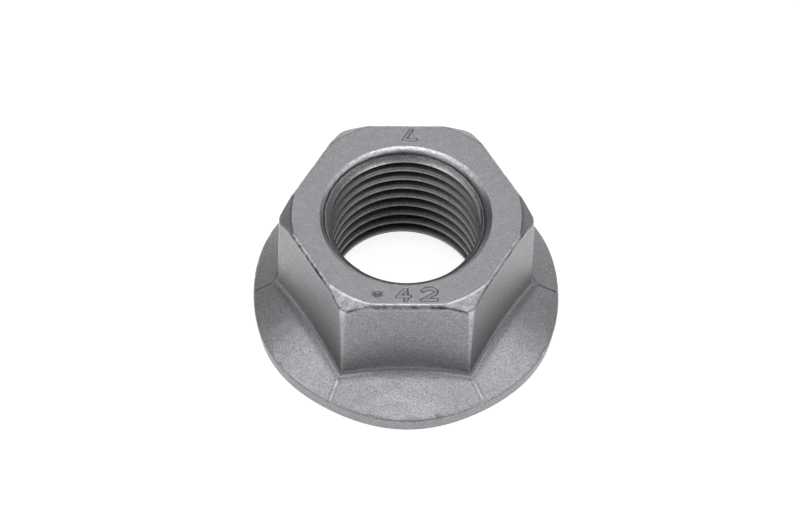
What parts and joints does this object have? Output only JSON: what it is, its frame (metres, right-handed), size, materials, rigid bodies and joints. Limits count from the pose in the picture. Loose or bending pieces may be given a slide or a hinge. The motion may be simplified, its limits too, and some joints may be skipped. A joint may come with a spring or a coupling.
{
  "type": "serrated flange nut",
  "caption": "Hexagon nut with an integral sloping flange, a countersunk fine-thread bore and ratchet serrations on its bearing face.",
  "frame": {"origin": "on the thread's axis in the plane of the bearing face", "axes": "+Z along the thread's axis from the bearing face to the top face, with two flats of the hexagon facing -Y and +Y and two corners on the X axis"},
  "size_m": [0.0308, 0.0308, 0.0151],
  "materials": {
    "zinc_flake_steel": "matte silver-grey zinc flake coating with a fine grain on forged steel"
  },
  "bodies": {
    "root": {"flange_nut": "zinc_flake_steel"}
  },
  "joints": []
}
